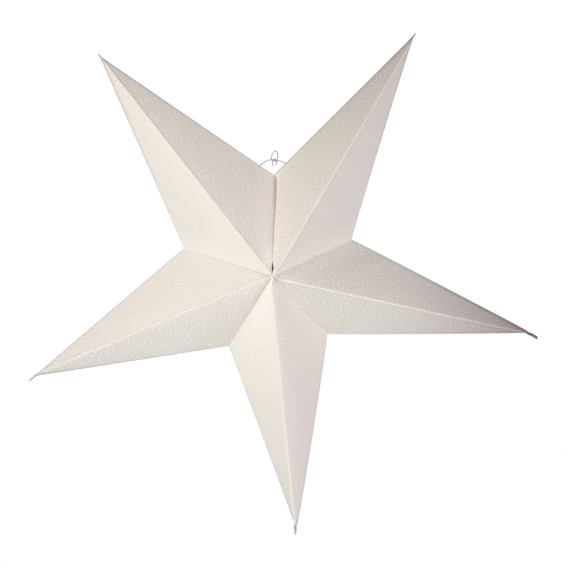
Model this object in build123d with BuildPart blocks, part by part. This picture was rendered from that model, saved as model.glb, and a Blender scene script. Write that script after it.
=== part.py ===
from build123d import *
import math
import os

# Hollow paper star that opens from a flat stack of glued leaves and hangs by a cord at its top notch.
# Millimetres and degrees. The star stands in the XZ plane and faces -Y. The origin is where a hook
# bears in the hanging loop. Bearings run counter-clockwise from +X, seen from the front.

# Star, opened by hand, so that its points and notches are a little uneven: shares are of the radii.
# The seam is at the first notch, and points and notches follow it clockwise.
tip_radius = 315.0
notch_radius = 104.0
half_depth = 88.0
tip_shares = (1.003, 1.004, 1.01, 0.982, 1.004)
tip_bearings = (58.5, -14.3, -84.7, -155.3, -231.0)
notch_shares = (1.039, 0.951, 0.988, 1.023, 1.012)
notch_bearings = (89.0, 19.2, -50.5, -118.6, -192.4)

# Paper
paper = 0.4
fold_radius = 0.8
centre_relief = 1.8

# Glued ridge fins of each point, and the blunt tail that they run into at its tip
fin_heights = (2.4, 2.9, 3.2, 2.9, 1.5)
fin_root = 2 * paper
fin_start = 3.2
tail_lengths = (1.0, 8.0, 7.0, 8.0, 0.5)
tail_widths = (1.4, 3.0, 2.4, 2.0, 1.4)

# Glue tabs inside the valleys
tab_width = 7.0
tab_root = 0.25 * paper
tab_from_centre = 16.0
tab_from_notch = 18.0

# Open seam: the end leaves' tabs are doubled below it and meet there
seam_gap = 2 * paper
seam_depth = 2.0
seam_tab_from_notch = 3.5

# Punched holes for the cord, measured along the crease from the notch
hole_diameter = 3.4
hole_from_notch = 19.0

# Hanging cord: where its crown stands over the notch, its knot and its routes
cord_diameter = 1.2
cord_sides = 8
crown_over_notch = (2.2, 27.0)
knot_diameter = 4.2
knot_end_diameter = 2.8
knot_height = 4.4
knot_band = 2.6
knot_place = (-1.1, 0, -9.2)
left_leg = [(-18.3, 0, -16.3), (-10.8, -0.3, -11.6), (-2.3, -0.5, -9.4)]
loop = [
    (0.2, -0.5, -8.2),
    (2.7, -0.3, -6.2),
    (2.6, 0, -2.4),
    (1.1, 0, 0.6),
    (-1.5, 0, 0.6),
    (-3.6, 0, -2.2),
    (-4.3, 0.3, -6.0),
    (-2.4, 0.5, -8.2),
]
right_leg = [(0.1, 0.5, -9.4), (5.2, 0.3, -10.2), (11.6, 0, -13.5)]
inside = [
    (15.3, 0, -16.0),
    (16.4, 0, -20.9),
    (10.3, 0, -27.0),
    (2.2, 0, -33.3),
    (-6.5, 0, -33.7),
    (-14.0, 0, -29.2),
    (-20.5, 0, -23.2),
    (-21.5, 0, -18.7),
]
ends = [
    [(-1.8, -0.2, -10.6), (-2.4, -0.5, -13.6), (-2.1, -0.7, -17.0)],
    [(-0.5, 0.2, -10.6), (0.2, 0.5, -13.4), (-0.7, 0.7, -16.4)],
]
# Share of a run that the arc at its end takes up
arc_share = 0.45


def radial(bearing):
    """Unit vector in the star's plane."""
    return Vector(math.cos(math.radians(bearing)), 0, math.sin(math.radians(bearing)))


def clockwise(bearing):
    """Unit vector square to a bearing, on its clockwise side."""
    return Vector(math.sin(math.radians(bearing)), 0, -math.cos(math.radians(bearing)))


# The loop's inner crown is the origin, over the seam's notch
notch_to_crown = Vector(crown_over_notch[0], 0, crown_over_notch[1])
centre = -(radial(notch_bearings[0]) * notch_radius * notch_shares[0] + notch_to_crown)


def radial_plane(bearing, origin=centre):
    """Plane along the star's axis: x runs outwards, y to the front, and the normal points clockwise."""
    return Plane(origin=origin, x_dir=radial(bearing), z_dir=clockwise(bearing))


def valley_of(notch, side):
    """Notch point and valley plane of a leaf. The two end leaves stand back from the seam."""
    bearing = notch_bearings[notch]
    on_axis = centre
    if notch == 0:
        on_axis = centre - clockwise(bearing) * (side * seam_gap / 2)
    notch_point = on_axis + radial(bearing) * notch_radius * notch_shares[notch]
    return notch_point, radial_plane(bearing, on_axis)


def fin_outline(point):
    """Outline of a point's ridge fin in its radial plane: front and back strips that meet in the tail."""
    reach = tip_radius * tip_shares[point]
    slope = half_depth / reach
    ridge = math.hypot(reach, half_depth)
    start = half_depth - fin_start * slope
    crest = start + fin_heights[point] * ridge / reach
    root = start - fin_root * ridge / reach
    end = reach + tail_lengths[point]
    tail = tail_widths[point] / 2
    # The crest runs down to the tail's edge, or as far as the tail's end
    shoulder = min(end, fin_start + (crest - tail) / slope)
    at_shoulder = crest - (shoulder - fin_start) * slope
    return [
        (fin_start, crest),
        (shoulder, at_shoulder),
        (end, tail),
        (end, -tail),
        (shoulder, -at_shoulder),
        (fin_start, -crest),
        (fin_start, -root),
        (reach - fin_root * ridge / half_depth, 0),
        (fin_start, root),
    ]


def tab_outline(notch, from_notch, depth):
    """Outline of a valley's front glue tab in its radial plane, from a depth on, with slanted ends."""
    reach = notch_radius * notch_shares[notch]
    valley = math.hypot(reach, half_depth)
    along = Vector(reach, -half_depth) / valley
    inwards = Vector(-half_depth, -reach) / valley
    root = Vector(0, half_depth) + inwards * depth
    edge = Vector(0, half_depth) + inwards * tab_width
    return [
        root + along * (tab_from_centre + depth),
        root + along * (valley - from_notch - depth),
        edge + along * (valley - from_notch - tab_width),
        edge + along * (tab_from_centre + tab_width),
    ]


def make_leaf(point, side):
    """One creased leaf: side is 1 for the clockwise leaf of a point, -1 for the other."""
    notch = (point + 1) % len(notch_bearings) if side > 0 else point
    notch_point, notch_plane = valley_of(notch, side)
    tip_plane = radial_plane(tip_bearings[point])
    tip = centre + radial(tip_bearings[point]) * tip_radius * tip_shares[point]
    crease = (tip - notch_point).normalized()
    foot = notch_point + crease * (centre - notch_point).dot(crease)
    to_axis = (foot - centre).length
    fold_plane = Plane(origin=foot, x_dir=foot - centre, z_dir=crease)

    with BuildPart() as leaf:
        # Sheet folded along the crease, then cut along the ridge and the valley
        with BuildSketch(fold_plane):
            with BuildLine():
                FilletPolyline(
                    (-2 * to_axis, 2 * half_depth),
                    (0, 0),
                    (-2 * to_axis, -2 * half_depth),
                    radius=fold_radius,
                )
                offset(amount=paper, side=Side.RIGHT)
            make_face()
        extrude(amount=(tip - foot).length)
        split(bisect_by=tip_plane, keep=Keep.TOP if side > 0 else Keep.BOTTOM)
        split(bisect_by=notch_plane, keep=Keep.BOTTOM if side > 0 else Keep.TOP)
        # Ridge fin and tail
        with BuildSketch(tip_plane):
            with BuildLine():
                Polyline(*fin_outline(point), close=True)
            make_face()
        extrude(amount=side * paper)
        # Glue tabs, and the strips that double them at the seam
        from_notch = tab_from_notch
        strips = [(tab_root, -side * paper)]
        if notch == 0:
            from_notch = seam_tab_from_notch
            strips.append((seam_depth, side * seam_gap / 2))
        for depth, thickness in strips:
            with BuildSketch(notch_plane):
                with BuildLine():
                    Polyline(*tab_outline(notch, from_notch, depth), close=True)
                make_face()
                mirror(about=Plane.XZ)
            extrude(amount=thickness)
        # Blunt corners at the centre, and the cord's hole in each end leaf
        with BuildSketch(Plane.XZ):
            with Locations((centre.X, centre.Z)):
                Circle(centre_relief)
            if notch == 0:
                hole = notch_point + crease * hole_from_notch
                with Locations((hole.X, hole.Z)):
                    Circle(hole_diameter / 2)
        extrude(amount=2 * half_depth, both=True, mode=Mode.SUBTRACT)
    return leaf


def corner_radii(route):
    """Largest arcs that the runs beside each corner of a cord's route leave room for."""
    radii = []
    for before, corner, after in zip(route, route[1:], route[2:]):
        arriving = Vector(*corner) - Vector(*before)
        leaving = Vector(*after) - Vector(*corner)
        half_turn = math.radians(arriving.get_angle(leaving)) / 2
        radii.append(arc_share * min(arriving.length, leaving.length) / math.tan(half_turn))
    return radii


os.makedirs("parts", exist_ok=True)

# Leaves in order clockwise from the seam
for number in range(2 * len(tip_bearings)):
    leaf = make_leaf(number // 2, 1 if number % 2 else -1)
    leaf.part.label = f"leaf_{number + 1:02d}"
    export_step(leaf.part, f"parts/{leaf.part.label}.step")

# Cord, threaded through both holes and drawn into one knot, with a loop and two ends
with BuildPart() as hanging_cord:
    with BuildSketch(Plane(origin=knot_place, x_dir=(1, 0, 0), z_dir=(0, -1, 0))):
        with BuildLine():
            Polyline(
                (0, -knot_height / 2),
                (knot_end_diameter / 2, -knot_height / 2),
                (knot_diameter / 2, -knot_band / 2),
                (knot_diameter / 2, knot_band / 2),
                (knot_end_diameter / 2, knot_height / 2),
                (0, knot_height / 2),
                close=True,
            )
        make_face()
    revolve(axis=Axis(knot_place, (0, 0, 1)))
    for route in (right_leg + inside + left_leg, loop, *ends):
        radii = corner_radii(route)
        with BuildLine() as path:
            FilletPolyline(*route, radius=radii)
        with BuildSketch(Plane(origin=path.line @ 0, z_dir=path.line % 0)):
            RegularPolygon(radius=cord_diameter / 2, side_count=cord_sides)
        sweep()
        print("cord run", round(path.wire().length, 1), "mm, radii", [round(radius, 1) for radius in radii])
hanging_cord.part.label = "hanging_cord"
export_step(hanging_cord.part, "parts/hanging_cord.step")
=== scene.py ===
import math

import bmesh
import bpy
from bpy.props import FloatProperty, FloatVectorProperty, IntProperty, PointerProperty
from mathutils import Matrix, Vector


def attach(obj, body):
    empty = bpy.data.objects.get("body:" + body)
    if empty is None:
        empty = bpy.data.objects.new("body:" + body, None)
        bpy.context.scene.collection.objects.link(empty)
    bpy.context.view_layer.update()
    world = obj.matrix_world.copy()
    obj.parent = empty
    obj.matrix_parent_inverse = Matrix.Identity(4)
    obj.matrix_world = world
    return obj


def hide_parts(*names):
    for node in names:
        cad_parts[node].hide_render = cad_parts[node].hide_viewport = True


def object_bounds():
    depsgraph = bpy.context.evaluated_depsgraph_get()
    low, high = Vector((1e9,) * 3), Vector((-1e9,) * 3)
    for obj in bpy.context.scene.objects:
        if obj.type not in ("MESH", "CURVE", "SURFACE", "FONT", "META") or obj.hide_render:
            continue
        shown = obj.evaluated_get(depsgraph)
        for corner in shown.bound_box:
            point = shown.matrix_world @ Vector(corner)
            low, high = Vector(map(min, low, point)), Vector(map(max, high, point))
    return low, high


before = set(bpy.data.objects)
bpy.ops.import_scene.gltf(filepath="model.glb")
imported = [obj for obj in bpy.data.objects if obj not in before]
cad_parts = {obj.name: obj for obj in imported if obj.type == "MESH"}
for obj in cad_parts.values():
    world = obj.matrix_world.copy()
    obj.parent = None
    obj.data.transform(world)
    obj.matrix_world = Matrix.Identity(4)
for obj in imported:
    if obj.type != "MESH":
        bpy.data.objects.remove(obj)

bl_info = {
    "name": "Hollow Paper Star",
    "version": (1, 0, 0),
    "blender": (4, 5, 0),
    "location": "3D View > Sidebar > Paper Star",
    "description": "Dresses a hollow star of creased paper leaves that hangs by a knotted cord",
    "category": "Add Mesh",
}

CAD_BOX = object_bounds()
BODY = "root"
POINTS = 5
LEAVES = sorted(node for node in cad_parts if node.startswith("leaf_"))

# Attributes that the leaf's mesh carries for its finish, among them painted highlight, painted shade and
# painted light
FLAT_MAP = "leaf_flat"
PAINTED_FIN_LIGHT = "rubbed_fin"
PAINTED_SHADE = "soiled_edge"
SEAM_SHADE = "glued_tab"
PAINTED_LIGHT = "pale_valley"
PRINTED = "print_strength"
TIP_SHADE_WARMTH = "blushed_tip"


MM_IN_METRE = 1000.0


def mm(*lengths):
    """Lengths given in millimetres, in metres."""
    metres = tuple(length / MM_IN_METRE for length in lengths)
    return metres if len(metres) > 1 else metres[0]


# Properties in the script's own units, named in the way of bpy.props
def NumberProperty(name, description, *values, **more):
    """Property of one number, or of a list with one for each point, leaf, side or axis."""
    if len(values) == 1:
        return FloatProperty(name=name, description=description, default=values[0], **more)
    return FloatVectorProperty(
        name=name, description=description, size=len(values), default=values, **more
    )


def LengthProperty(name, description, *millimetres, **more):
    """Property of lengths, given in millimetres."""
    metres = (length / MM_IN_METRE for length in millimetres)
    return NumberProperty(name, description, *metres, unit="LENGTH", **more)


def AngleProperty(name, description, *degrees):
    """Property of angles, given in degrees."""
    return NumberProperty(name, description, *map(math.radians, degrees), unit="ROTATION")


def ColourProperty(name, description, *levels):
    """Property of a colour."""
    return NumberProperty(name, description, *levels, subtype="COLOR")


# Cord's route, point by point in millimetres
LEFT_LEG = [(-18.3, 0, -16.3), (-12.4, -0.3, -12.0), (-7.4, -0.6, -9.4)]
LOOP = [
    (-2.6, -0.8, -10.2),
    (2.2, -0.8, -10.2),
    (3.0, -0.4, -6.6),
    (2.7, 0, -3.0),
    (1.0, 0, 0.6),
    (-1.3, 0, 0.6),
    (-3.6, 0, -2.9),
    (-5.0, 0.4, -6.9),
    (-3.9, 0.8, -10.3),
]
RIGHT_LEG = [(0.8, 0.8, -10.7), (5.8, 0.3, -10.7), (11.6, 0, -13.5)]
INSIDE = [
    (11.6, 0, -13.5),
    (15.3, 0, -16.0),
    (16.4, 0, -20.9),
    (10.3, 0, -27.0),
    (2.2, 0, -33.3),
    (-6.5, 0, -33.7),
    (-14.0, 0, -29.2),
    (-20.5, 0, -23.2),
    (-21.5, 0, -18.7),
    (-18.3, 0, -16.3),
]
CORD_ENDS = [
    [(-3.6, -0.2, -10.6), (-3.6, -0.5, -13.8), (-2.2, -0.7, -17.2)],
    [(1.6, 0.2, -10.9), (1.7, 0.5, -13.4), (0.3, 0.7, -16.2)],
]
# Turns drawn round the knot: place and sizes in millimetres, their number, and the steps of their route
KNOT_PLACE = (-1.1, 0, -9.8)
KNOT_RADIUS = 1.2
KNOT_HEIGHT = 2.6
KNOT_TURNS = 2.2
KNOT_STEPS = 28


class Wire:
    """One socket of a node tree. Sums on wires add the tree's Math and Vector Math nodes."""

    def __init__(self, socket):
        self.socket = socket
        self.tree = socket.id_data

    @staticmethod
    def add(tree, kind, settings=None, sockets=None, out=0):
        """Add a node: its settings are set first, then its sockets are filled or linked."""
        node = tree.nodes.new(kind)
        for name, value in (settings or {}).items():
            setattr(node, name, value)
        for name, value in (sockets or {}).items():
            if isinstance(value, Wire):
                tree.links.new(value.socket, node.inputs[name])
            else:
                node.inputs[name].default_value = value
        return Wire(node.outputs[out])

    def out(self, name):
        """Another output of the same node."""
        return Wire(self.socket.node.outputs[name])

    def sum(self, operation, *values):
        """Math node on values, or Vector Math where one of them is a vector."""
        kind = "ShaderNodeVectorMath" if any(map(self.is_vector, values)) else "ShaderNodeMath"
        return self.add(self.tree, kind, {"operation": operation}, dict(enumerate(values)))

    def of(self, operation, *others):
        """The same, with this wire as the first value."""
        return self.sum(operation, self, *others)

    @staticmethod
    def is_vector(value):
        """Whether a wire, or a plain value, holds three numbers."""
        if isinstance(value, Wire):
            return value.socket.type in {"VECTOR", "RGBA"}
        return hasattr(value, "__len__")

    def __add__(self, other):
        return self.of("ADD", other)

    __radd__ = __add__

    def __sub__(self, other):
        return self.of("SUBTRACT", other)

    def __rsub__(self, other):
        return self.sum("SUBTRACT", other, self)

    def __mul__(self, other):
        if self.is_vector(self) and not self.is_vector(other):
            return self.add(
                self.tree, "ShaderNodeVectorMath", {"operation": "SCALE"}, {0: self, "Scale": other}
            )
        return self.of("MULTIPLY", other)

    __rmul__ = __mul__

    def __truediv__(self, other):
        return self.of("DIVIDE", other)

    def __neg__(self):
        return self * -1.0

    def __abs__(self):
        return self.of("ABSOLUTE")

    def __pow__(self, other):
        return self.of("POWER", other)

    def least(self, other):
        return self.of("MINIMUM", other)

    def most(self, other):
        return self.of("MAXIMUM", other)

    def held(self, low=0.0, high=1.0):
        return self.most(low).least(high)

    def step(self, low, high):
        """Smooth step from 0 at low to 1 at high."""
        return self.add(
            self.tree,
            "ShaderNodeMapRange",
            {"interpolation_type": "SMOOTHSTEP"},
            {"Value": self, "From Min": low, "From Max": high},
        )

    def dot(self, other):
        return self.of("DOT_PRODUCT", other).out("Value")

    def length(self):
        return self.of("LENGTH").out("Value")

    def unit(self):
        return self.of("NORMALIZE")

    def cross(self, other):
        return self.of("CROSS_PRODUCT", other)

    def hypot(self, other):
        """Long side of a right-angled triangle with these two short sides."""
        return (self * self + other * other).of("SQRT")

    def arch(self):
        """Arch that rises from 0 at 0 to 1 half-way, and falls to 0 at 1."""
        return self * (1.0 - self) * 4.0

    def parts(self):
        """The three numbers of a vector."""
        first = self.add(self.tree, "ShaderNodeSeparateXYZ", None, {0: self})
        return first, first.out("Y"), first.out("Z")

    def vector(self, x=0.0, y=0.0, z=0.0):
        """A vector from three numbers."""
        return self.add(self.tree, "ShaderNodeCombineXYZ", None, {"X": x, "Y": y, "Z": z})


class PaperStarSizes(bpy.types.PropertyGroup):
    """Sizes of the star and its leaves"""

    tip_radius: LengthProperty("Tip radius", "From the star's axis to a tip", 315)
    notch_radius: LengthProperty("Notch radius", "From the axis to a notch", 104)
    half_depth: LengthProperty("Half depth", "From the star's plane to its front centre", 88)
    tip_shares: NumberProperty(
        "Tip shares", "Share of the tip radius that each point reaches", 1.003, 1.004, 1.01, 0.982, 1.004
    )
    notch_shares: NumberProperty(
        "Notch shares",
        "Share of the notch radius that each notch reaches",
        *(1.047, 0.951, 0.988, 1.023, 1.012),
    )
    tip_bearings: AngleProperty(
        "Tip bearings",
        "Directions of the points, clockwise from the seam",
        *(58.65, -14.3, -84.7, -155.3, -231),
    )
    notch_bearings: AngleProperty(
        "Notch bearings",
        "Directions of the notches, from the seam's notch on",
        *(89, 19.2, -50.5, -118.6, -192.4),
    )
    crown_over_notch: LengthProperty(
        "Crown over notch",
        "Place of the hanging loop's crown, seen from the seam's notch",
        *(2.185, 0, 26.17),
        subtype="XYZ",
    )
    paper: LengthProperty("Paper", "Thickness of the paper", 0.4)
    fold_set_back: LengthProperty(
        "Fold set-back", "How far a rounded crease stands back from a sharp one", 0.25
    )
    crease_bows: LengthProperty(
        "Crease bows",
        "How far each leaf's crease bows outwards",
        *(-0.3, -1.2, 0.7, 0.8, 1.7, -0.4, 0.2, 0.3, -0.1, -0.4),
    )
    centre_relief: LengthProperty("Centre relief", "Radius of the gap at the axis", 0.4)
    fin_heights: LengthProperty(
        "Fin heights", "Height of the glued fin on each point's ridges", 2.4, 2.9, 3.2, 2.9, 0.5
    )
    fin_start: LengthProperty("Fin start", "From the axis to the roots of the fins", 0.6)
    tail_lengths: LengthProperty(
        "Tail lengths", "Length of each tail beyond its tip", 0.6, 8.8, 7, 8, 0.5
    )
    tail_widths: LengthProperty(
        "Tail widths", "Width of each tail where it begins", 1.4, 3.5, 3.2, 2.5, 1.4
    )
    tail_tapers: NumberProperty(
        "Tail tapers", "Share of its width that each tail has lost at its end", 0.0, 0.0, 0.7, 0.25, 0.0
    )
    fin_leans: AngleProperty(
        "Fin leans", "Lean of each point's fins towards their clockwise side", 65, 74, 68, 112, 110
    )
    # Painted highlight that lightens each point's fins towards white
    fin_rubs: NumberProperty(
        "Fin rubs", "How much highlight is painted on each point's fins", 0.45, 0.2, 0.2, 0.2, 0.2
    )
    tail_leans: AngleProperty(
        "Tail leans", "Bend of each tail towards its clockwise side", 0, 18, 9, -10, 0
    )
    tail_twists: AngleProperty(
        "Tail twists", "Twist of each tail about its own length", 15, 70, 75, 60, 10
    )
    # Painted shade that darkens each tail
    tail_soils: NumberProperty("Tail soils", "How much shade is painted on each tail", 0.75, 0.97, 0.42, 0.2, 0.15)
    # Painted shade that greys each point's panels towards its tip
    point_soils: NumberProperty(
        "Point soils", "How greyed each point's panels are at its tip", 0.16, 0.68, 0.0, 0.08, 0.07
    )
    # Painted shade in a thin band along each leaf's crease
    edge_soils: NumberProperty(
        "Edge soils",
        "How much shade is painted along the crease of each leaf",
        *(0.36, 0.2, 0.34, 0.24, 0.15, 0.22, 0.3, 0.2, 0.13, 0.34),
    )
    # Painted shade in a wider band along each leaf's crease, towards the tip
    edge_shades: NumberProperty(
        "Edge shades",
        "How much shade is painted on each leaf along its crease towards the tip",
        *(0.26, 0.08, 0.66, 0.1, 0.08, 0.05, 0.24, 0.0, 0.25, 0.1),
    )
    # Painted shade in a thin band along each leaf's valley
    valley_soils: NumberProperty(
        "Valley soils",
        "How much shade is painted on each leaf along its valley",
        *(0.0, 0.0, 0.0, 0.12, 0.08, 0.0, 0.16, 0.34, 0.0, 0.0),
    )
    # Painted light that makes each leaf paler along its valley
    valley_lifts: NumberProperty(
        "Valley lifts",
        "How much paler each leaf is along its valley, where the paper is doubled",
        *(0.0, 0.08, 0.2, 0.0, 0.0, 0.02, 0.08, 0.0, 0.05, 0.16),
    )
    # Painted shade over each whole leaf; a value below nought paints light instead
    leaf_greys: NumberProperty(
        "Leaf greys",
        "How greyed each whole leaf is",
        *(0.0, -0.005, 0.01, 0.15, -0.005, -0.045, 0.125, -0.015, 0.02, -0.02),
    )
    print_strengths: NumberProperty(
        "Print strengths",
        "How strongly each leaf's ornament is printed",
        *(0.85, 0.55, 1.45, 1.5, 0.65, 0.35, 1.35, 0.5, 0.3, 0.85),
    )
    tab_width: LengthProperty("Tab width", "Width of the glue tabs inside", 7)
    tab_from_centre: LengthProperty("Tab from centre", "From the front centre to a tab", 16)
    tab_from_notch: LengthProperty("Tab from notch", "From the notch to a tab", 18)
    seam_gap: LengthProperty("Seam gap", "Width of the open seam before it is worn", 0.8)
    seam_tab_from_notch: LengthProperty("Seam tab from notch", "From the notch to a tab at the seam", 0.5)
    seam_drawn_in: LengthProperty("Seam drawn in", "How far glue draws in each edge of the seam", 0.4)
    seam_gapes: LengthProperty(
        "Seam gapes", "How far the right and the left edge have spread below the notch", 4, 2
    )
    seam_drift: LengthProperty("Seam drift", "How far to the right the tabs meet below the notch", 3.4)
    seam_slit: LengthProperty("Seam slit", "How far each edge has spread near the axis", 0.85)
    hole_diameter: LengthProperty("Hole diameter", "Punched holes for the cord", 3.4)
    hole_from_notch: LengthProperty("Hole from notch", "Along the crease to a hole", 19)
    panel_bow: LengthProperty("Panel bow", "How far the panels bulge out", 0.8)
    fin_waver: LengthProperty("Fin waver", "Sideways waver of the fins", 0.5)
    panel_columns: IntProperty(
        name="Panel columns", description="Faces from a valley to a ridge", default=40, min=4
    )
    half_rows: IntProperty(
        name="Half rows", description="Faces from a crease to the axis", default=36, min=4
    )


class PaperStarFinish(bpy.types.PropertyGroup):
    """Colours and scale of the star's paper and cord"""

    paper_colour: ColourProperty("Paper", "Cream-white ground", 0.80, 0.745, 0.70)
    # This white is also the fins' painted highlight
    ornament_and_fin_light_colour: ColourProperty("Raised lines", "White of the raised ornament", 0.92, 0.89, 0.86)
    # Painted shade in the seam's groove, over the glued tabs
    seam_shade_colour: ColourProperty("Glued paper", "Paper browned by glue", 0.52, 0.41, 0.375)
    # How dark full painted shade makes the paper
    shade_takes: NumberProperty("Shade takes", "Share of the light that full painted shade takes away", 0.85)
    # Warm tint of the painted shade at the tips
    shade_warmth: NumberProperty(
        "Shade warmth", "Red, green and blue that the painted shade at the tips gives back", 0.06, -0.052, -0.013
    )
    scale_radius: LengthProperty("Scale radius", "Radius of the ornament's scales", 21)
    scale_rows: LengthProperty("Scale rows", "From one row of scales to the next", 13)
    scale_turn: AngleProperty("Scale turn", "Turn of the rows on the sheet", 24)
    ring_pitch: LengthProperty("Ring pitch", "From one arc of a scale to the next", 5.2)
    bead_pitch: LengthProperty("Bead pitch", "From one dot of a dotted arc to the next", 2.8)
    line_width: LengthProperty("Line width", "Width of a raised line", 1.25)
    line_height: LengthProperty("Line height", "Height of a raised line", 0.12)
    # The cord's mid-grey is painted shade; the thread itself is pale
    cord_colour: ColourProperty("Cord", "Mid-grey thread", 0.34, 0.34, 0.335)
    cord_diameter: LengthProperty("Cord diameter", "Thickness of the cord", 1.2)
    cord_lay: LengthProperty("Cord lay", "Length of one turn of the cord's strands", 3.6)


class PaperStarStage(bpy.types.PropertyGroup):
    """Camera, lamps and floor"""

    camera_azimuth: AngleProperty("Azimuth", "Camera's turn about the star", -0.45)
    camera_elevation: AngleProperty("Elevation", "Camera's height angle", 6.5)
    camera_distance: LengthProperty("Distance", "Camera to the star's centre", 1420)
    image_size: IntProperty(name="Image size", description="Width and height in pixels", default=567)
    pixels_per_metre: NumberProperty("Pixels per metre", "Scale of the image at the star's centre", 853.7)
    centre_pixel: NumberProperty(
        "Centre pixel", "Where the star's centre lies in the image", 271.9, 267.3
    )
    floor_drop: LengthProperty("Floor drop", "From the lowest tip to the floor", 500)
    floor_radius: LengthProperty("Floor radius", "Radius of the round floor", 1100)
    fill_level: NumberProperty("Fill", "Strength of the even light all round", 0.04)
    right_watts: NumberProperty("Right", "Power of the large lamp at the right", 19.5, unit="POWER")
    left_watts: NumberProperty("Left", "Power of the lamp at the left", 5.8, unit="POWER")
    high_watts: NumberProperty("High", "Power of the lamp high at the left", 4.1, unit="POWER")
    back_watts: NumberProperty("Back", "Power of the large lamp behind", 22.0, unit="POWER")


def radial(bearing):
    """Unit vector in the star's plane."""
    return Vector((math.cos(bearing), 0, math.sin(bearing)))


def clockwise(bearing):
    """Unit vector square to a bearing, on its clockwise side."""
    return Vector((math.sin(bearing), 0, -math.cos(bearing)))


def star_centre(sizes):
    """The loop's crown is the origin, over the seam's notch."""
    notch = radial(sizes.notch_bearings[0]) * sizes.notch_radius * sizes.notch_shares[0]
    return -(notch + Vector(sizes.crown_over_notch))


def new_object(name, mesh):
    """An object at the origin, in the scene."""
    made = bpy.data.objects.new(name, mesh)
    bpy.context.scene.collection.objects.link(made)
    return made


def settle(shaped, name, material):
    """Turn an object with modifiers into a plain one with a mesh of its own, and drop the first."""
    graph = bpy.context.evaluated_depsgraph_get()
    mesh = bpy.data.meshes.new_from_object(shaped.evaluated_get(graph))
    mesh.name = name
    bpy.data.objects.remove(shaped)
    mesh.materials.clear()
    mesh.materials.append(material)
    return new_object(name, mesh)


def set_inputs(modifier, values):
    """Fill a Geometry Nodes modifier's inputs, each by its socket's identifier."""
    for item in modifier.node_group.interface.items_tree:
        if item.item_type == "SOCKET" and item.in_out == "INPUT" and item.name in values:
            value = values[item.name]
            modifier[item.identifier] = tuple(value) if isinstance(value, Vector) else value


def tree_inputs(tree, sockets):
    """Declare a tree's inputs and its geometry output, and give a wire for each input."""
    tree.interface.new_socket("Geometry", in_out="OUTPUT", socket_type="NodeSocketGeometry")
    for name, kind in sockets.items():
        tree.interface.new_socket(name, in_out="INPUT", socket_type="NodeSocket" + kind)
    source = tree.nodes.new("NodeGroupInput")
    return {name: Wire(source.outputs[name]) for name in sockets}


def tree_output(tree, shape, material):
    """End a tree in Realize Instances and Set Material."""
    real = Wire.add(tree, "GeometryNodeRealizeInstances", None, {"Geometry": shape})
    done = Wire.add(tree, "GeometryNodeSetMaterial", None, {"Geometry": real, "Material": material})
    target = tree.nodes.new("NodeGroupOutput")
    tree.links.new(done.socket, target.inputs[0])


def new_material(name):
    """A material, its node tree and its Principled shader."""
    material = bpy.data.materials.new(name)
    material.use_nodes = True
    return material, material.node_tree, material.node_tree.nodes["Principled BSDF"]


def link_inputs(node, wires):
    """Link wires to a node's inputs by name."""
    for name, wire in wires.items():
        wire.tree.links.new(wire.socket, node.inputs[name])


def seen_by_camera(tree):
    """1 on rays from the camera, straight or by way of a mirror or glass, and 0 on others."""
    rays = Wire.add(tree, "ShaderNodeLightPath", None, None, "Is Camera Ray")
    return rays.most(rays.out("Is Glossy Ray")).most(rays.out("Is Transmission Ray"))


# Inputs of a leaf's tree: counts and sizes with names as above, and what is worked out for each leaf
COUNT_INPUTS = ("Panel Columns", "Half Rows")
SIZE_INPUTS = (
    "Half Depth", "Paper", "Fold Set-back", "Crease Bow", "Centre Relief", "Panel Bow",
    "Fin Height", "Fin Start", "Fin Lean", "Fin Waver", "Fin Rub",
    "Tail Length", "Tail Width", "Tail Taper", "Tail Lean", "Tail Twist", "Tail Soil", "Point Soil",
    "Edge Soil", "Edge Shade", "Valley Soil", "Valley Lift", "Leaf Grey", "Print Strength",
    "Tab Width", "Tab From Centre", "Seam Drawn In", "Seam Gape", "Seam Slit",
)
OWN_INPUTS = ("Side", "Tab From Notch", "Seam Set-back", "Seam Drift")
PLACE_INPUTS = ("Centre", "Tip", "Notch", "Valley Foot", "Ridge Normal", "Seam Away", "Sheet Place")
LEAF_INPUTS = {
    "Material": "Material",
    **dict.fromkeys(COUNT_INPUTS, "Int"),
    **dict.fromkeys(SIZE_INPUTS + OWN_INPUTS, "Float"),
    **dict.fromkeys(PLACE_INPUTS, "Vector"),
}

# Grid of a leaf: columns of its tab and fin, and how closely columns and rows gather at the folds
TAB_COLUMNS = 2
FIN_COLUMNS = 3
TAB_GATHER = 2.4
ROW_GATHER = 5.5
MERGE = 2e-6
# Least width of a panel beside the ridge, in thicknesses of the paper
LEAST_PANEL = 1.2

# Stretches over which tabs, fins and tails take their shape: from the axis, the tip or the ridge
TAB_MEETS = mm(0.0, 1.0)
TAPER_RUN = mm(40.0)
LEAN_RUN = mm(2.0, 14.0)
LEAN_ROOT = mm(0.0, 0.5)
BEND_BEFORE_TIP = mm(5.0)
TWIST_RUN = mm(-8.0, 3.0)
# Scale of the fins' waver
WAVER_PER_METRE = 28.0

# Stretches of a leaf's painted shade and painted light: from the tip, the crease, the valley or the axis
POINT_SHADE_RUN = mm(190.0)
POINT_SHADE_GATHER = 1.5
TAIL_SHADE_RUN = mm(-12.0, -3.0)
CREASE_SHADE = mm(0.9, 2.8)
CREASE_SHADE_AT_NOTCH = 0.7
CREASE_SHADE_TO_TIP = 0.6
EDGE_SHADE_RUN = mm(7.0)
VALLEY_SHADE = mm(0.0, 2.5)
VALLEY_LIGHT_RUN = mm(22.0)
# Painted light near the axis, and the stretch over which it fades
CENTRE_LIGHT = 0.18
CENTRE_LIGHT_RUN = mm(1.5, 4.5)

# Seam's worn stretches, as shares of the way from the notch to the axis
GAPE_FROM = (-0.01, 0.035)
GAPE_TO = (0.15, 0.85)
SLIT_FROM = (0.86, 0.905)
SLIT_TO = (0.93, 0.97)
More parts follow.
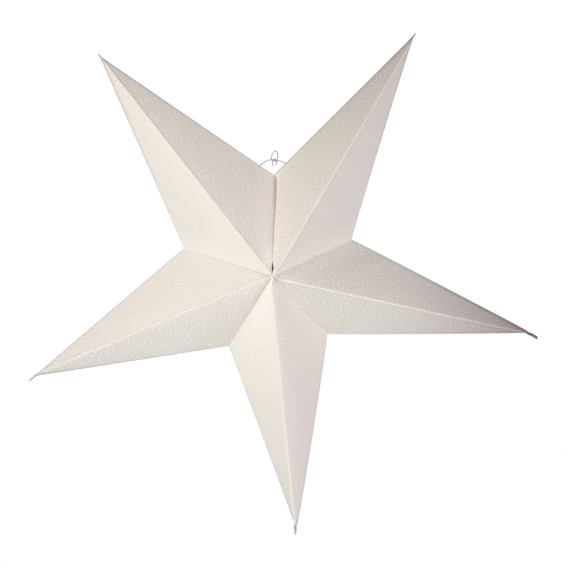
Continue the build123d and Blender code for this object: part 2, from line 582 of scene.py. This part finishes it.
# Painted shade in the seam's groove fades over this stretch, by this share
SEAM_SHADE_FADE = (0.1, 0.6)
SEAM_SHADE_FADES_BY = 0.5
# Power by which the seam's spread dies out across a panel
SEAM_GIVE = 4.0


def leaf_tree():
    """Creased leaf as one sheet of tab, panel and ridge fin side by side, from the back to the front."""
    tree = bpy.data.node_groups.new("creased_leaf", "GeometryNodeTree")
    given = tree_inputs(tree, LEAF_INPUTS)
    side, centre, tip, notch = (given[name] for name in ("Side", "Centre", "Tip", "Notch"))
    depth, paper, relief = (given[name] for name in ("Half Depth", "Paper", "Centre Relief"))
    valley_foot, normal = (given[name] for name in ("Valley Foot", "Ridge Normal"))
    forwards = side.vector(0.0, -1.0, 0.0)

    # Grid of columns, from the tab's edge to the fin's crest, and rows, from the back to the front
    columns = given["Panel Columns"] + float(TAB_COLUMNS + FIN_COLUMNS)
    rows = given["Half Rows"] * 2.0
    grid = Wire.add(
        tree,
        "GeometryNodeMeshGrid",
        None,
        {"Size X": 1.0, "Size Y": 2.0, "Vertices X": columns + 1.0, "Vertices Y": rows + 1.0},
    )
    across, along, _ = Wire.add(tree, "GeometryNodeInputPosition").parts()
    column = (across + 0.5) * columns
    in_tab = ((TAB_COLUMNS - column) / TAB_COLUMNS).held()
    share = ((column - TAB_COLUMNS) / given["Panel Columns"]).held()
    in_fin = ((column - TAB_COLUMNS - given["Panel Columns"]) / FIN_COLUMNS).held()
    front = along.of("SIGN")
    from_crease = (abs(along) * 2.0).least(1.0) * ROW_GATHER
    from_axis = (2.0 - abs(along) * 2.0).least(1.0) * ROW_GATHER
    gathered = from_crease.of("SINH") - from_axis.of("SINH")
    gathered = 0.5 + gathered * (0.5 / math.sinh(ROW_GATHER))

    # Rows stand from the crease to the axis, and stop at the gap on the axis
    tip_run = tip - centre
    tip_radius = tip_run.length()
    outwards = tip_run.unit()
    notch_off = (notch - centre).dot(normal) * side
    crease = tip - notch
    along_crease = crease.unit()
    to_axis = (centre - notch).cross(along_crease).length()
    rim = notch + crease * share
    foot = valley_foot + (centre - valley_foot) * share
    gap = relief + (given["Fin Start"] - relief) * share
    row = gathered * (1.0 - gap / (rim - foot).length())
    signed_row = row * front
    folded_row = row.hypot(given["Fold Set-back"] / to_axis)

    # Panel, from the valley to the root of the fin, which stands one paper off the ridge plane
    reach = (1.0 - paper / ((1.0 - folded_row) * notch_off).most(paper * LEAST_PANEL)) * share
    bowed = reach.arch().most(0.0) ** 0.5 * given["Crease Bow"]
    crease_foot = notch + along_crease * (centre - notch).dot(along_crease)
    edge = notch + crease * reach + (crease_foot - centre).unit() * bowed
    axis_point = valley_foot + (centre - valley_foot) * reach
    panel = edge + (axis_point - edge) * folded_row + forwards * (signed_row * depth)

    # Fin, up to a crest line that runs from the axis to the blunt end of the tail
    slope = depth / tip_radius
    ridge = tip_radius.hypot(depth)
    crest_out = (tip_radius + given["Tail Length"]) * (1.0 - row)
    along_tail = ((crest_out - tip_radius) / given["Tail Length"]).held()
    before_tip = (tip_radius - crest_out).most(0.0)
    tail_half = given["Tail Width"] * 0.5 * (1.0 - given["Tail Taper"] * along_tail)
    full_fin = given["Fin Height"] * ridge / tip_radius
    fin_rise = tail_half + (full_fin - tail_half) * before_tip.step(0.0, TAPER_RUN)
    crest_rise = (before_tip * slope + fin_rise) * front
    crest = centre + outwards * crest_out + normal * (side * paper) + forwards * crest_rise
    sheet = panel + (crest - panel) * in_fin

    # Tab, square to the valley and inside it, with slanted ends
    valley_run = notch - valley_foot
    notch_radius = valley_run.length()
    valley = notch_radius.hypot(depth)
    from_notch = row * valley
    tab = (valley - from_notch - given["Tab From Centre"]).least(from_notch - given["Tab From Notch"])
    full_tab = tab.most(0.0).least(given["Tab Width"])
    tab = full_tab * in_tab ** TAB_GATHER
    inwards = valley_run.unit() * (-depth / valley) - forwards * (front * notch_radius / valley)
    sheet = sheet + inwards * tab

    # Seam: its edges gape below the notch and near the axis, and its tabs meet behind the right one
    gapes = row.step(*GAPE_FROM) * (1.0 - row.step(*GAPE_TO))
    slit = given["Seam Slit"] * row.step(*SLIT_FROM) * (1.0 - row.step(*SLIT_TO))
    spread = (given["Seam Gape"] * gapes + slit - given["Seam Drawn In"]) * (1.0 - share) ** SEAM_GIVE
    meeting = given["Seam Drift"] * gapes - given["Seam Set-back"]
    glued_and_shaded = (in_tab * TAB_COLUMNS).held() * full_tab.step(*TAB_MEETS)
    sheet = sheet + given["Seam Away"] * (spread + (meeting - spread) * glued_and_shaded)

    # Wear of a star opened by hand: bowed panels, leaning fins, bent and twisted tails
    front_point = centre + forwards * (depth * front)
    inner_side = (tip - front_point).cross(notch - front_point).unit() * (side * front)
    sheet = sheet - inner_side * (share.arch() * row.arch() * given["Panel Bow"])
    off = sheet - centre
    out = off.dot(outwards)
    past_tip = out - tip_radius
    aside = off.dot(normal)
    _, stands, _ = off.parts()
    over_ridge = ((abs(stands) - depth + out * slope) * tip_radius / ridge).most(0.0)
    in_tail = past_tip.step(*TWIST_RUN)
    waver = Wire.add(
        tree,
        "ShaderNodeTexNoise",
        {"noise_dimensions": "3D"},
        {"Vector": sheet, "Scale": WAVER_PER_METRE, "Detail": 1.0},
    )
    lean = given["Fin Lean"] + (waver - 0.5) * given["Fin Waver"] / given["Fin Height"]
    lean = lean * out.step(*LEAN_RUN) * (1.0 - in_tail) * over_ridge.step(*LEAN_ROOT)
    lean_sine = lean.of("SINE")
    lean_cosine = lean.of("COSINE")
    twist = given["Tail Twist"] * in_tail
    twist_sine = twist.of("SINE")
    twist_cosine = twist.of("COSINE")
    turned_aside = aside * twist_cosine + stands * twist_sine
    turned_up = stands * twist_cosine - aside * twist_sine
    sheet = sheet + normal * (turned_aside - aside) - forwards * (turned_up - stands)
    bend = (past_tip + BEND_BEFORE_TIP).most(0.0) * given["Tail Lean"].of("TANGENT")
    ridge_up = outwards * (depth / ridge) + forwards * (front * tip_radius / ridge)
    sheet = sheet + ridge_up * (over_ridge * (lean_cosine - 1.0) - aside * lean_sine)
    sheet = sheet + normal * (over_ridge * lean_sine + aside * (lean_cosine - 1.0) + bend)

    # Flat map in metres, as the leaf was cut
    flat_x = (edge + (axis_point - edge) * row - notch).dot(along_crease)
    slant = to_axis.hypot(depth)
    flat = side.vector(flat_x + in_fin * given["Fin Height"] - tab, signed_row * slant, 0.0)
    marked = Wire.add(
        tree,
        "GeometryNodeStoreNamedAttribute",
        {"data_type": "FLOAT2", "domain": "CORNER"},
        {"Geometry": grid, "Name": FLAT_MAP, "Value": flat + given["Sheet Place"]},
    )

    # Painted shade at the tail, the tip, the crease, the valley and over the whole leaf, and painted
    # light in bands at the valley and the axis
    # Painted shade on the tail
    tail_unshaded = 1.0 - given["Tail Soil"] * past_tip.step(*TAIL_SHADE_RUN)
    # Painted shade towards the tip
    to_tip = (past_tip / POINT_SHADE_RUN + 1.0).held()
    point_unshaded = 1.0 - given["Point Soil"] * to_tip ** POINT_SHADE_GATHER
    # Painted shade along the crease
    at_crease = 1.0 - (row * slant).step(*CREASE_SHADE)
    crease_shading = given["Edge Soil"] * at_crease * (CREASE_SHADE_AT_NOTCH + share * CREASE_SHADE_TO_TIP)
    edge_shade = given["Edge Shade"] * (1.0 - (row * slant / EDGE_SHADE_RUN).held()) * share
    crease_unshaded = (1.0 - crease_shading) * (1.0 - edge_shade)
    from_valley = share * (1.0 - row) * (tip - valley_foot).cross(valley_run.unit()).length()
    # Painted shade in a thin band along the valley
    valley_unshaded = 1.0 - given["Valley Soil"] * (1.0 - from_valley.step(*VALLEY_SHADE)) * row
    # Painted shade over the whole leaf; painted light where the value is below nought
    leaf_unshaded = 1.0 - given["Leaf Grey"]
    # Painted light along the valley and near the axis
    valley_light = given["Valley Lift"] * (1.0 - (from_valley / VALLEY_LIGHT_RUN).held())
    centre_light = (1.0 - out.hypot(aside).step(*CENTRE_LIGHT_RUN)) * CENTRE_LIGHT
    for name, value in (
        # Painted highlight on the fins
        (PAINTED_FIN_LIGHT, (in_fin * FIN_COLUMNS).held() * given["Fin Rub"]),
        # Painted shade
        (PAINTED_SHADE, 1.0 - crease_unshaded * tail_unshaded * point_unshaded * valley_unshaded * leaf_unshaded),
        # Painted light
        (PAINTED_LIGHT, valley_light + centre_light),
        # Painted shade in the seam's groove
        (SEAM_SHADE, glued_and_shaded * (1.0 - row.step(*SEAM_SHADE_FADE) * SEAM_SHADE_FADES_BY)),
        (PRINTED, given["Print Strength"]),
        # Warm tint of the painted shade at the tips
        (TIP_SHADE_WARMTH, (1.0 - point_unshaded) * tail_unshaded),
    ):
        marked = Wire.add(
            tree,
            "GeometryNodeStoreNamedAttribute",
            {"data_type": "FLOAT", "domain": "POINT"},
            {"Geometry": marked, "Name": name, "Value": value},
        )
    shaped = Wire.add(tree, "GeometryNodeSetPosition", None, {"Geometry": marked, "Position": sheet})
    merged = Wire.add(tree, "GeometryNodeMergeByDistance", None, {"Geometry": shaped, "Distance": MERGE})
    turned = Wire.add(
        tree,
        "FunctionNodeCompare",
        {"data_type": "FLOAT", "operation": "LESS_THAN"},
        {"A": side, "B": 0.0},
    )
    faced = Wire.add(tree, "GeometryNodeFlipFaces", None, {"Mesh": merged, "Selection": turned})
    tree_output(tree, faced, given["Material"])
    return tree


# Ornament: noises per millimetre that bend and wear it, and how much is left where it is most worn
STRAY_PER_MM = 0.05
STRAY_MM = 4.0
WEAR_PER_MM = 0.035
WEAR_BETWEEN = (0.35, 0.6)
MOST_WORN = 0.55
# Soft edges of its lines, dots and beads, as shares of half a line or of the way from bead to bead
LINE_EDGE = (0.55, 1.25)
DOT_EDGE = (1.8, 2.6)
BEAD_EDGE = (0.22, 0.34)

# Paper's noises: scale per millimetre, detail and weight in the tone
PULP = (0.9, 4.0, 0.05)
FIBRES = (2.4, 3.0, 0.03)
CLOUDS = (0.02, 2.0, 0.02)
FIBRE_STRETCH = (0.35, 1.0, 1.0)
# Paper's plain tone, its relief, and its gloss
PLAIN_TONE = 0.955
PULP_HEIGHT_MM = 0.03
FIBRE_HEIGHT_MM = 0.02
PAPER_BUMP = 0.7
PAPER_ROUGHNESS = 0.84
LINES_SMOOTHER = 0.12
PULP_ROUGHER = 0.1
PAPER_SPECULAR = 0.3
PAPER_SHEEN = 0.08


def star_paper(finish):
    """Cream paper with a fine pulp and a raised white ornament of scales with plain and dotted arcs."""
    material, tree, shader = new_material("star_paper")
    place = Wire.add(tree, "ShaderNodeUVMap", {"uv_map": FLAT_MAP}) * MM_IN_METRE

    def noise(at, scale, detail=2.0):
        sockets = {"Vector": at, "Scale": scale, "Detail": detail}
        return Wire.add(tree, "ShaderNodeTexNoise", None, sockets)

    def mixed(share, first, second):
        """Mix of two colours, which are sockets 6 and 7 of the node and 2 of its outputs."""
        sockets = {0: share, 6: first, 7: second}
        return Wire.add(tree, "ShaderNodeMix", {"data_type": "RGBA"}, sockets, 2)

    # Rows of overlapping scales, each row half a scale aside of the one before it
    drawn = place + (noise(place, STRAY_PER_MM).out("Color") - (0.5, 0.5, 0.5)) * STRAY_MM
    x, y, _ = drawn.parts()
    along = x * math.cos(finish.scale_turn) + y * math.sin(finish.scale_turn)
    aside = y * math.cos(finish.scale_turn) - x * math.sin(finish.scale_turn)
    radius = finish.scale_radius * MM_IN_METRE
    row_pitch = finish.scale_rows * MM_IN_METRE

    def from_centre(number):
        """Way from the nearest scale's centre in a row."""
        shift = number.of("FLOORED_MODULO", 2.0) * radius
        column = ((aside - shift) / (2 * radius)).of("ROUND")
        return aside.vector(aside - shift - column * (2 * radius), along - number * row_pitch, 0.0)

    first = ((along - radius) / row_pitch).of("CEIL")
    way = from_centre(first + 2.0)
    for number in (first + 1.0, first):
        nearer = from_centre(number)
        covers = nearer.length().of("LESS_THAN", radius)
        way = way + (nearer - way) * covers

    # Each scale is a nest of arcs, every second one dotted, about a dot
    far = way.length()
    across, up, _ = way.parts()
    ring_pitch = finish.ring_pitch * MM_IN_METRE
    ring = (radius - far) / ring_pitch
    ring_number = ring.of("FLOOR")
    from_line = abs(ring - ring_number - 0.5) * ring_pitch
    half_line = finish.line_width * MM_IN_METRE / 2
    line = 1.0 - from_line.step(*(half_line * share for share in LINE_EDGE))
    odd = ring_number.of("FLOORED_MODULO", 2.0)
    bead_turn = 2 * math.pi / (finish.bead_pitch * MM_IN_METRE)
    beads = ((radius - (ring_number + 0.5) * ring_pitch) * bead_turn).of("ROUND")
    bead = across.of("ARCTAN2", up) / (2 * math.pi) * beads
    bead = abs(bead - bead.of("FLOOR") - 0.5)
    dotted = 1.0 - bead.step(*BEAD_EDGE)
    dot = 1.0 - far.step(*(half_line * share for share in DOT_EDGE))
    worn = MOST_WORN + noise(place, WEAR_PER_MM).step(*WEAR_BETWEEN) * (1.0 - MOST_WORN)
    raised = (line * (1.0 - odd + odd * dotted)).most(dot) * worn

    # Colour: ornament and the fins' painted highlight, painted shade in the seam's groove, then painted
    # shade and light, and the paper's own noises
    pulp = noise(place, *PULP[:2])
    fibres = noise(place * FIBRE_STRETCH, *FIBRES[:2])
    clouds = noise(place, *CLOUDS[:2])
    lit_fin, painted_shade, glued_and_shaded, painted_light, printed, tip_warmth = (
        Wire.add(tree, "ShaderNodeAttribute", {"attribute_name": name}, None, "Fac")
        for name in (PAINTED_FIN_LIGHT, PAINTED_SHADE, SEAM_SHADE, PAINTED_LIGHT, PRINTED, TIP_SHADE_WARMTH)
    )
    # The tone takes the painted light along the valleys and near the axis
    tone = (PLAIN_TONE + pulp * PULP[2] + fibres * FIBRES[2] + clouds * CLOUDS[2]) * (1.0 + painted_light)
    # Painted shade, warmed at the tips
    unshaded = 1.0 - painted_shade * finish.shade_takes
    # Warm tint where shade is painted at the tips
    unshaded = unshaded.vector(*(unshaded + tip_warmth * given for given in finish.shade_warmth))
    # The fins' painted highlight mixes in the ornament's white
    lighter = (raised * printed).most(lit_fin)
    ground = mixed(lighter, (*finish.paper_colour, 1.0), (*finish.ornament_and_fin_light_colour, 1.0))
    # Painted shade in the seam's groove
    ground = mixed(glued_and_shaded, ground, (*finish.seam_shade_colour, 1.0))

    height = raised * (finish.line_height * MM_IN_METRE)
    height = height + pulp * PULP_HEIGHT_MM + fibres * FIBRE_HEIGHT_MM
    relief = {"Strength": PAPER_BUMP, "Distance": mm(1), "Height": height}
    bump = Wire.add(tree, "ShaderNodeBump", None, relief)
    rough = PAPER_ROUGHNESS - raised * LINES_SMOOTHER + (pulp - 0.5) * PULP_ROUGHER
    link_inputs(shader, {"Base Color": ground * unshaded * tone, "Roughness": rough, "Normal": bump})
    shader.inputs["Specular IOR Level"].default_value = PAPER_SPECULAR
    shader.inputs["Sheen Weight"].default_value = PAPER_SHEEN
    return material


# Thread: its fibres per metre and their detail, least and added tone and roughness, and its relief; the
# tone paints shade into the grooves between fibres
THREAD_FIBRES = 2600.0
THREAD_DETAIL = 3.0
THREAD_TONE = (0.8, 0.4)
THREAD_ROUGHNESS = (0.6, 0.25)
THREAD_BUMP = 0.5
THREAD_RELIEF = mm(0.2)


def cord_thread(finish):
    """Thread drawn mid-grey, which is painted shade on a pale thread, with the grooves between its fibres
    painted darker as shade.
    """
    material, tree, shader = new_material("cord_thread")
    place = Wire.add(tree, "ShaderNodeTexCoord", None, None, "Object")
    grain = {"Vector": place, "Scale": THREAD_FIBRES, "Detail": THREAD_DETAIL}
    fibre = Wire.add(tree, "ShaderNodeTexNoise", None, grain)
    # Darker where the fibres dip: painted shade in the grooves
    tone = THREAD_TONE[0] + fibre * THREAD_TONE[1]
    colour = tone.vector(*(tone * level for level in finish.cord_colour))
    relief = {"Strength": THREAD_BUMP, "Distance": THREAD_RELIEF, "Height": fibre}
    bump = Wire.add(tree, "ShaderNodeBump", None, relief)
    rough = THREAD_ROUGHNESS[0] + fibre * THREAD_ROUGHNESS[1]
    link_inputs(shader, {"Base Color": colour, "Roughness": rough, "Normal": bump})
    return material


SMOOTH_BELOW = math.radians(32)
HOLE_SIDES = 32
# Each leaf is cut from its own place in the patterned paper, this far on from the last one, in metres
SHEET_STEP = (0.37, 0.23, 0.0)


def shade(piece):
    """Round folds are shaded smooth, and cut edges stay crisp."""
    mesh = piece.data
    mesh.polygons.foreach_set("use_smooth", [True] * len(mesh.polygons))
    mesh.set_sharp_from_angle(angle=SMOOTH_BELOW)


def punch(sheet, place, sizes):
    """Cut a round hole through a folded leaf, along the star's axis."""
    cutter_mesh = bpy.data.meshes.new("punch")
    shape = bmesh.new()
    bmesh.ops.create_cone(
        shape,
        cap_ends=True,
        segments=HOLE_SIDES,
        radius1=sizes.hole_diameter / 2,
        radius2=sizes.hole_diameter / 2,
        depth=sizes.half_depth,
    )
    for vertex in shape.verts:
        x, y, z = vertex.co
        vertex.co = place + Vector((x, z, y))
    bmesh.ops.recalc_face_normals(shape, faces=shape.faces)
    shape.to_mesh(cutter_mesh)
    shape.free()
    cutter = new_object("punch", cutter_mesh)
    cut = sheet.modifiers.new("punch", "BOOLEAN")
    cut.operation = "DIFFERENCE"
    cut.solver = "EXACT"
    cut.object = cutter
    return cutter


def own_size(sizes, name, number):
    """One leaf's value of a size that has one for all, or a list of them for sides, points or leaves."""
    attribute = name.lower().replace(" ", "_").replace("-", "_")
    if hasattr(sizes, attribute):
        return getattr(sizes, attribute)
    values = getattr(sizes, attribute + "s")
    return values[number * len(values) // len(LEAVES)]


def leaf_values(sizes, number):
    """Inputs of one leaf's tree. Leaves are counted clockwise from the seam."""
    point = number // 2
    side = 1 if number % 2 else -1
    notch_number = (point + 1) % POINTS if side > 0 else point
    bearing = sizes.tip_bearings[point]
    valley = sizes.notch_bearings[notch_number]
    seam = notch_number == 0
    away = clockwise(valley) * (-side if seam else 0)
    centre = star_centre(sizes)
    foot = centre + away * sizes.seam_gap / 2
    return {
        **{name: own_size(sizes, name, number) for name in COUNT_INPUTS + SIZE_INPUTS},
        "Side": float(side),
        "Centre": centre,
        "Tip": centre + radial(bearing) * sizes.tip_radius * sizes.tip_shares[point],
        "Notch": foot + radial(valley) * sizes.notch_radius * sizes.notch_shares[notch_number],
        "Valley Foot": foot,
        "Ridge Normal": clockwise(bearing),
        "Tab From Notch": sizes.seam_tab_from_notch if seam else sizes.tab_from_notch,
        "Seam Away": away,
        "Seam Set-back": sizes.seam_gap / 2,
        "Seam Drift": -side * sizes.seam_drift,
        "Sheet Place": [step * number for step in SHEET_STEP],
    }


class PAPERSTAR_OT_leaves(bpy.types.Operator):
    """Make the ten creased leaves in place of the plain ones"""

    bl_idname = "paper_star.leaves"
    bl_label = "Paper Leaves"

    def execute(self, context):
        sizes = context.scene.paper_star_sizes
        material = star_paper(context.scene.paper_star_finish)
        tree = leaf_tree()
        if len(LEAVES) != 2 * POINTS:
            raise RuntimeError("the star needs two leaves to a point")
        for number, node in enumerate(LEAVES):
            values = leaf_values(sizes, number)
            plain = new_object(node + "_sheet", bpy.data.meshes.new(node + "_sheet"))
            modifier = plain.modifiers.new("creased_leaf", "NODES")
            modifier.node_group = tree
            set_inputs(modifier, {"Material": material, **values})
            thick = plain.modifiers.new("paper", "SOLIDIFY")
            thick.thickness = sizes.paper
            thick.offset = -1
            cutter = None
            if values["Seam Away"].length > 0:
                crease = (values["Tip"] - values["Notch"]).normalized()
                cutter = punch(plain, values["Notch"] + crease * sizes.hole_from_notch, sizes)
            piece = settle(plain, "paper_" + node, material)
            if cutter is not None:
                bpy.data.objects.remove(cutter)
            shade(piece)
            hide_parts(node)
            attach(piece, BODY)
        return {"FINISHED"}


# Cord: its strands, the depth of the grooves between them, and the steps of its mesh
CORD_INPUTS = {"Route": "Geometry", "Material": "Material", "Diameter": "Float", "Lay": "Float"}
CORD_STRANDS = 3.0
STRAND_GROOVE = 0.22
CORD_SIDES = 24
CORD_STEP = mm(0.3)
ROUTE_STEPS = 16
ROUTE_ORDER = 3


def cord_tree():
    """Cord of three twisted strands along a route."""
    tree = bpy.data.node_groups.new("twisted_cord", "GeometryNodeTree")
    given = tree_inputs(tree, CORD_INPUTS)
    route = Wire.add(tree, "GeometryNodeMeshToCurve", None, {"Mesh": given["Route"]})
    route = Wire.add(
        tree, "GeometryNodeResampleCurve", {"mode": "LENGTH"}, {"Curve": route, "Length": CORD_STEP}
    )
    along = Wire.add(tree, "GeometryNodeSplineParameter", None, None, "Length")
    twisted = Wire.add(
        tree,
        "GeometryNodeSetCurveTilt",
        None,
        {"Curve": route, "Tilt": along / given["Lay"] * (2 * math.pi)},
    )
    ring = Wire.add(
        tree,
        "GeometryNodeCurvePrimitiveCircle",
        {"mode": "RADIUS"},
        {"Resolution": CORD_SIDES, "Radius": given["Diameter"] * 0.5},
    )
    place = Wire.add(tree, "GeometryNodeInputPosition")
    x, y, _ = place.parts()
    angle = y.of("ARCTAN2", x) * CORD_STRANDS
    groove = 1.0 - (angle.of("COSINE") + 1.0) * (STRAND_GROOVE / 2)
    lobed = Wire.add(
        tree, "GeometryNodeSetPosition", None, {"Geometry": ring, "Position": place * groove}
    )
    tube = Wire.add(
        tree,
        "GeometryNodeCurveToMesh",
        None,
        {"Curve": twisted, "Profile Curve": lobed, "Fill Caps": True},
    )
    tree_output(tree, tube, given["Material"])
    return tree


def route_mesh(name, routes):
    """Points along smooth lines that have the given places, in millimetres, as their control points."""
    line = bpy.data.curves.new(name, "CURVE")
    line.dimensions = "3D"
    line.resolution_u = ROUTE_STEPS
    for places in routes:
        spline = line.splines.new("NURBS")
        spline.points.add(len(places) - 1)
        for point, place in zip(spline.points, places):
            point.co = (*mm(*place), 1.0)
        spline.order_u = ROUTE_ORDER
        spline.use_endpoint_u = True
    carrier = new_object(name, line)
    graph = bpy.context.evaluated_depsgraph_get()
    mesh = bpy.data.meshes.new_from_object(carrier.evaluated_get(graph))
    bpy.data.objects.remove(carrier)
    return mesh


def knot_turns():
    """Route of the turns drawn round the knot, in millimetres."""
    x, y, z = KNOT_PLACE
    places = []
    for step in range(KNOT_STEPS + 1):
        share = step / KNOT_STEPS
        angle = 2 * math.pi * KNOT_TURNS * share
        places.append(
            (
                x + KNOT_RADIUS * math.cos(angle),
                y + KNOT_RADIUS * math.sin(angle),
                z + KNOT_HEIGHT * (share - 0.5),
            )
        )
    return places


class PAPERSTAR_OT_cord(bpy.types.Operator):
    """Make the twisted hanging cord, its knot and its ends"""

    bl_idname = "paper_star.cord"
    bl_label = "Hanging Cord"

    def execute(self, context):
        finish = context.scene.paper_star_finish
        material = cord_thread(finish)
        tree = cord_tree()
        pieces = {}
        for name, routes in (
            ("cord_loop", [LEFT_LEG + LOOP + RIGHT_LEG]),
            ("cord_inside", [INSIDE]),
            ("cord_knot", [knot_turns()]),
            ("cord_ends", CORD_ENDS),
        ):
            route = route_mesh(name + "_route", routes)
            plain = new_object(name + "_route", route)
            modifier = plain.modifiers.new("twisted_cord", "NODES")
            modifier.node_group = tree
            set_inputs(
                modifier,
                {"Material": material, "Diameter": finish.cord_diameter, "Lay": finish.cord_lay},
            )
            pieces[name] = settle(plain, name, material)
            shade(pieces[name])
            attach(pieces[name], BODY)
        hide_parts("hanging_cord")
        mm(*LEFT_LEG[0])
        return {"FINISHED"}


WHITE = (1, 1, 1, 1)
FILL_COLOUR = (0.97, 0.98, 1, 1)
FLOOR_COLOUR = (0.86, 0.855, 0.85, 1)
FLOOR_ROUGHNESS = 0.9
FLOOR_SIDES = 96
# Share of plain white that the camera sees in the floor, and where it rises to all, in floor radii
FLOOR_WHITE = 0.6
FLOOR_FADE = (0.35, 0.95)


def pale_floor(stage):
    """Pale floor that keeps the shadow and fades to white at its rim for the camera."""
    material, tree, shader = new_material("pale_floor")
    shader.inputs["Base Color"].default_value = FLOOR_COLOUR
    shader.inputs["Roughness"].default_value = FLOOR_ROUGHNESS
    place = Wire.add(tree, "ShaderNodeTexCoord", None, None, "Object")
    from_middle = (place * (1.0, 1.0, 0.0)).length()
    fade = from_middle.step(*(stage.floor_radius * share for share in FLOOR_FADE))
    fade = FLOOR_WHITE + fade * (1.0 - FLOOR_WHITE)
    white = Wire.add(tree, "ShaderNodeEmission", None, {"Color": WHITE, "Strength": 1.0})
    sockets = {0: seen_by_camera(tree) * fade, 1: Wire(shader.outputs[0]), 2: white}
    mixed = Wire.add(tree, "ShaderNodeMixShader", None, sockets)
    link_inputs(tree.nodes["Material Output"], {"Surface": mixed})
    return material


# Place of each lamp from the star's centre, its size and its colour
LAMPS = {
    "right": ((1.4, -1.2, 0.0), 1.0, (1.0, 0.966, 0.997)),
    "left": ((-0.5, -0.9, -0.25), 0.5, (0.941, 1.0, 0.975)),
    "high": ((-0.6, -0.6, 0.4), 0.4, (1.0, 0.928, 0.877)),
    "back": ((0.2, 1.35, 0.4), 1.4, (1.0, 0.985, 0.97)),
}


def lamp(name, place, target, size, watts, colour):
    """Square soft lamp that faces a target."""
    light = bpy.data.lights.new(name, "AREA")
    light.shape = "SQUARE"
    light.size = size
    light.energy = watts
    light.color = colour
    holder = new_object(name, light)
    holder.location = place
    holder.rotation_euler = (target - place).to_track_quat("-Z", "Y").to_euler()


def white_surround(stage):
    """World that is white to the camera and gives a low, even light to the star."""
    world = bpy.data.worlds.new("white_surround")
    world.use_nodes = True
    tree = world.node_tree
    white = Wire.add(tree, "ShaderNodeBackground", None, {"Color": WHITE, "Strength": 1.0})
    fill = Wire.add(
        tree, "ShaderNodeBackground", None, {"Color": FILL_COLOUR, "Strength": stage.fill_level}
    )
    mixed = Wire.add(tree, "ShaderNodeMixShader", None, {0: seen_by_camera(tree), 1: fill, 2: white})
    link_inputs(tree.nodes["World Output"], {"Surface": mixed})
    return world


def photo_camera(stage, centre):
    """Camera that sees the star's centre at the photo's place and scale."""
    camera = bpy.data.cameras.new("camera")
    holder = new_object("camera", camera)
    level = math.cos(stage.camera_elevation)
    back = Vector(
        (
            math.sin(stage.camera_azimuth) * level,
            -math.cos(stage.camera_azimuth) * level,
            math.sin(stage.camera_elevation),
        )
    )
    holder.location = centre + back * stage.camera_distance
    holder.rotation_euler = (-back).to_track_quat("-Z", "Y").to_euler()
    focal_pixels = stage.pixels_per_metre * stage.camera_distance
    camera.lens = focal_pixels * camera.sensor_width / stage.image_size
    camera.shift_x = 0.5 - stage.centre_pixel[0] / stage.image_size
    camera.shift_y = stage.centre_pixel[1] / stage.image_size - 0.5
    return holder


class PAPERSTAR_OT_stage(bpy.types.Operator):
    """Set up the floor, soft lamps, white surround and camera"""

    bl_idname = "paper_star.stage"
    bl_label = "Stage"

    def execute(self, context):
        scene = context.scene
        stage = scene.paper_star_stage
        centre = star_centre(scene.paper_star_sizes)
        lowest = CAD_BOX[0][2]

        floor_mesh = bpy.data.meshes.new("floor")
        shape = bmesh.new()
        bmesh.ops.create_circle(shape, cap_ends=True, segments=FLOOR_SIDES, radius=stage.floor_radius)
        for vertex in shape.verts:
            vertex.co += Vector((centre.x, 0, lowest - stage.floor_drop))
        shape.to_mesh(floor_mesh)
        shape.free()
        floor_mesh.materials.append(pale_floor(stage))
        new_object("floor", floor_mesh)

        for name, (place, size, colour) in LAMPS.items():
            lamp(name, centre + Vector(place), centre, size, getattr(stage, name + "_watts"), colour)
        scene.world = white_surround(stage)
        scene.camera = photo_camera(stage, centre)
        scene.view_settings.view_transform = "Standard"
        return {"FINISHED"}


class PAPERSTAR_PT_sidebar(bpy.types.Panel):
    """Lists the star's pieces and sizes"""

    bl_idname = "PAPERSTAR_PT_sidebar"
    bl_label = "Paper Star"
    bl_space_type = "VIEW_3D"
    bl_region_type = "UI"
    bl_category = "Paper Star"

    def draw(self, context):
        for operator in (PAPERSTAR_OT_leaves, PAPERSTAR_OT_cord, PAPERSTAR_OT_stage):
            self.layout.operator(operator.bl_idname)
        for group in ("paper_star_sizes", "paper_star_finish", "paper_star_stage"):
            owner = getattr(context.scene, group)
            box = self.layout.box()
            for name in owner.__annotations__:
                box.prop(owner, name)


CLASSES = (
    PaperStarSizes,
    PaperStarFinish,
    PaperStarStage,
    PAPERSTAR_OT_leaves,
    PAPERSTAR_OT_cord,
    PAPERSTAR_OT_stage,
    PAPERSTAR_PT_sidebar,
)


def register():
    for kind in CLASSES:
        bpy.utils.register_class(kind)
    bpy.types.Scene.paper_star_sizes = PointerProperty(type=PaperStarSizes)
    bpy.types.Scene.paper_star_finish = PointerProperty(type=PaperStarFinish)
    bpy.types.Scene.paper_star_stage = PointerProperty(type=PaperStarStage)


def unregister():
    del bpy.types.Scene.paper_star_stage
    del bpy.types.Scene.paper_star_finish
    del bpy.types.Scene.paper_star_sizes
    for kind in reversed(CLASSES):
        bpy.utils.unregister_class(kind)


def main():
    register()
    bpy.ops.paper_star.stage()
    bpy.ops.paper_star.cord()
    bpy.ops.paper_star.leaves()


if __name__ == "__main__":
    main()
